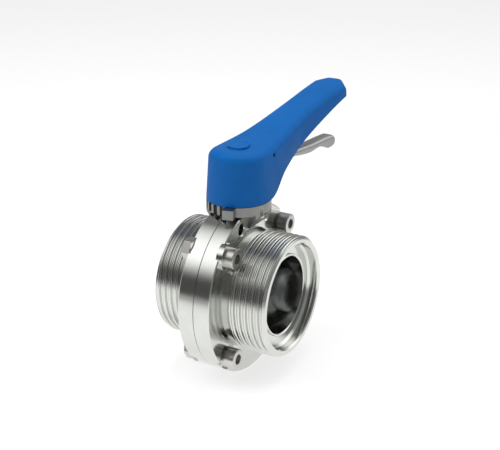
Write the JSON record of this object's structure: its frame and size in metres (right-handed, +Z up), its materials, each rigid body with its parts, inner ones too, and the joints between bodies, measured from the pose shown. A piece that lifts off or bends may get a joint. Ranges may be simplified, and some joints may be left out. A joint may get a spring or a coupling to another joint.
{
  "type": "threaded butterfly valve",
  "caption": "Sanitary butterfly valve with male threaded ends: bolted round halves, a disc on an upright stem, a blue pull handle, a locking trigger and a notched plate.",
  "frame": {"origin": "middle of the disc, where the pipe axis meets the stem axis", "axes": "+X along the pipe towards the end with the screw heads, +Z up along the stem, +Y towards the grip of the closed valve"},
  "size_m": [0.079, 0.192, 0.1632],
  "materials": {
    "polished_steel": "turned and polished stainless steel",
    "disc_steel": "polished stainless steel",
    "screw_steel": "plain stainless steel",
    "cast_steel": "cast stainless steel, fine grain",
    "trigger_steel": "cast stainless steel, satin",
    "seal_rubber": "black rubber",
    "bearing_plastic": "white bearing plastic",
    "blue_moulding": "matt blue moulding",
    "blue_cap": "matt blue moulding"
  },
  "bodies": {
    "valve_body": {"front_body": "polished_steel", "rear_body": "polished_steel", "seat_seal": "seal_rubber", "upper_bush": "bearing_plastic", "lower_bush": "bearing_plastic", "stem_o_rings": "seal_rubber", "stem_thrust_disc": "bearing_plastic", "socket_screws": "screw_steel", "spring_washers": "screw_steel", "nut_washers": "screw_steel", "hex_nuts": "screw_steel", "notch_plate": "cast_steel", "plate_set_screws": "screw_steel"},
    "disc_and_handle": {"disc_stem": "disc_steel", "hub_insert": "cast_steel", "handle_shell": "blue_moulding", "handle_washer": "screw_steel", "handle_screw": "screw_steel", "handle_cap": "blue_cap", "trigger_pin": "screw_steel", "trigger_spring": "screw_steel"},
    "trigger": {"trigger_lever": "trigger_steel"}
  },
  "joints": [
    {"name": "handle_turn", "type": "hinge", "parent": "valve_body", "child": "disc_and_handle", "pos_m": [0, 0, 0.06], "axis": [0, 0, 1], "range_deg": [0, 90]},
    {"name": "trigger_squeeze", "type": "hinge", "parent": "disc_and_handle", "child": "trigger", "pos_m": [0, 0.0122, 0.0863], "axis": [1, 0, 0], "range_deg": [0, 12], "stiffness_Nm_per_rad": 0.3, "springref_deg": -17.19, "deforming": ["trigger_spring"]}
  ]
}
